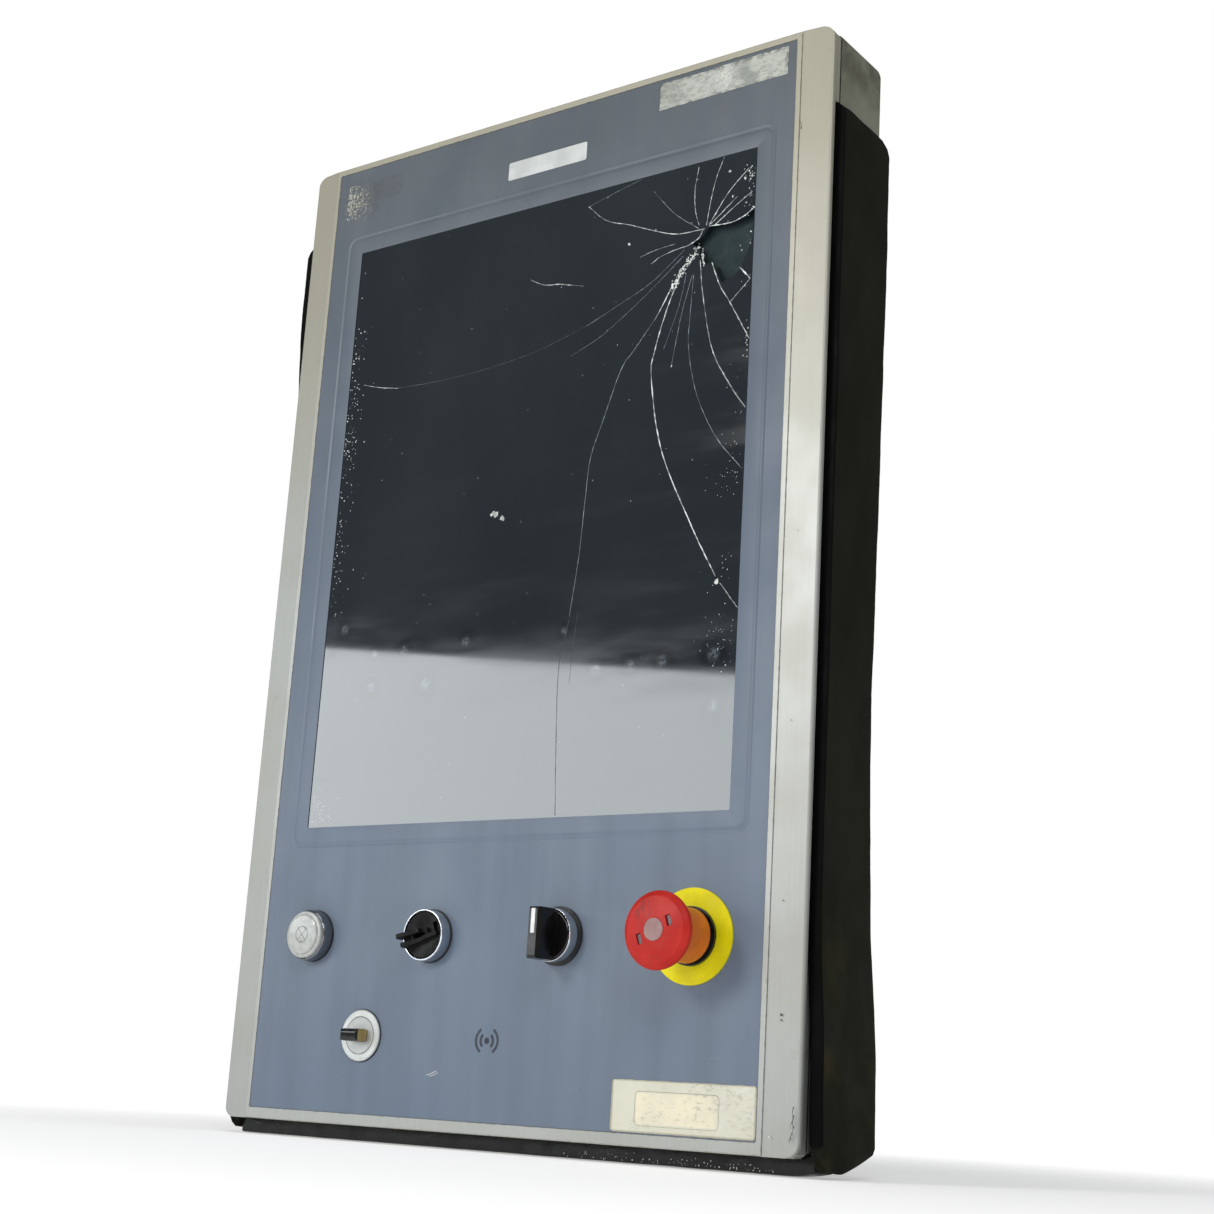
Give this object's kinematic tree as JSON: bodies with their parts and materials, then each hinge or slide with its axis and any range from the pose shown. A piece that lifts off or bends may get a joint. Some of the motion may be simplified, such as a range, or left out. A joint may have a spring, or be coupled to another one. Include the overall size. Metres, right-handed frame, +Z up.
{
  "type": "operator touch panel",
  "caption": "Portrait machine operator panel with a touch display, lit push-button, selector switches, emergency stop, key switch and card reader in a slim metal enclosure.",
  "frame": {"origin": "centre of the bounding box's bottom face, where the bottom pad rests", "axes": "+Z up along the panel's height, +Y from the front face to the back, +X to the right seen from the front"},
  "size_m": [0.4178, 0.108, 0.6218],
  "materials": {
    "painted_frame": "satin, worn",
    "painted_housing": "matt, grimy",
    "front_film": "fine satin",
    "screen_glass": "glossy, cracked",
    "screen_cell": "gloss",
    "bare_metal": "satin",
    "display_tray": "satin",
    "steel": "zinc plated",
    "chrome": "bright",
    "board_green": "solder mask",
    "brass": "worn",
    "seal_rubber": "matt",
    "pad_rubber": "matt, dusty",
    "black_plastic": "satin",
    "grey_plastic": "satin",
    "white_plastic": "satin",
    "clear_lens": "gloss",
    "green_plastic": "satin",
    "red_plastic": "semi gloss",
    "orange_plastic": "semi gloss",
    "yellow_plastic": "satin",
    "dark_red_window": "gloss",
    "foil_label": "worn foil",
    "paper_label": "worn"
  },
  "bodies": {
    "panel": {"side_profile_left": "painted_frame", "side_profile_right": "painted_frame", "top_rail": "bare_metal", "bottom_rail": "bare_metal", "corner_brackets": "steel", "frame_screws": "steel", "front_plate": "painted_frame", "front_film": "front_film", "touch_glass": "screen_glass", "glass_seal": "seal_rubber", "lcd_bezel": "bare_metal", "lcd_cell": "screen_cell", "backlight_tray": "display_tray", "display_clamps": "steel", "main_board": "board_green", "board_standoffs": "brass", "heat_sink": "bare_metal", "power_supply": "bare_metal", "card_reader": "black_plastic", "housing_gasket": "seal_rubber", "rear_housing": "painted_housing", "housing_screws": "steel", "service_cover": "painted_housing", "arm_plate": "steel", "cover_screws": "steel", "connector_panel": "bare_metal", "power_connector": "chrome", "data_connectors": "chrome", "side_pad_left": "pad_rubber", "side_pad_right": "pad_rubber", "bottom_pad": "pad_rubber", "top_label": "foil_label", "bottom_label": "paper_label", "device_gaskets": "seal_rubber", "device_clamps": "grey_plastic", "button_bezel": "chrome", "button_spring": "steel", "button_contacts": "grey_plastic", "selector_left_bezel": "chrome", "selector_right_bezel": "chrome", "selector_contacts": "green_plastic", "estop_disc": "yellow_plastic", "estop_collar": "black_plastic", "estop_contacts": "red_plastic", "lock_body": "bare_metal", "lock_contacts": "green_plastic"},
    "button": {"button_plunger": "grey_plastic", "button_legend": "white_plastic", "button_lens": "clear_lens"},
    "selector_left": {"selector_left_rotor": "black_plastic"},
    "selector_right": {"selector_right_knob": "black_plastic", "selector_right_pointer": "white_plastic"},
    "estop_slider": {"estop_neck": "orange_plastic"},
    "estop_head": {"estop_mushroom": "red_plastic", "estop_window": "clear_lens", "estop_indicators": "dark_red_window"},
    "lock_plug": {"lock_plug": "bare_metal"},
    "key": {"key_blade": "brass", "key_head": "black_plastic"}
  },
  "joints": [
    {"name": "button_press", "type": "slide", "parent": "panel", "child": "button", "axis": [0, 1, 0], "range_m": [0, 0.004], "stiffness_N_per_m": 500, "springref_m": -0.004, "deforming": ["button_spring"]},
    {"name": "selector_left_turn", "type": "hinge", "parent": "panel", "child": "selector_left", "pos_m": [-0.0438, -0.018, 0.1153], "axis": [0, -1, 0], "range_deg": [0, 70]},
    {"name": "selector_right_turn", "type": "hinge", "parent": "panel", "child": "selector_right", "pos_m": [0.0465, -0.018, 0.1153], "axis": [0, -1, 0], "range_deg": [-70, 70]},
    {"name": "estop_press", "type": "slide", "parent": "panel", "child": "estop_slider", "axis": [0, 1, 0], "range_m": [0, 0.0034]},
    {"name": "estop_twist", "type": "hinge", "parent": "estop_slider", "child": "estop_head", "pos_m": [0.1323, -0.018, 0.1153], "axis": [0, 1, 0], "range_deg": [0, 30], "stiffness_Nm_per_rad": 0.05},
    {"name": "lock_turn", "type": "hinge", "parent": "panel", "child": "lock_plug", "pos_m": [-0.0906, -0.018, 0.0588], "axis": [0, 1, 0], "range_deg": [0, 90]},
    {"name": "key_pull", "type": "slide", "parent": "lock_plug", "child": "key", "axis": [0, -1, 0], "range_m": [0, 0.021]}
  ]
}
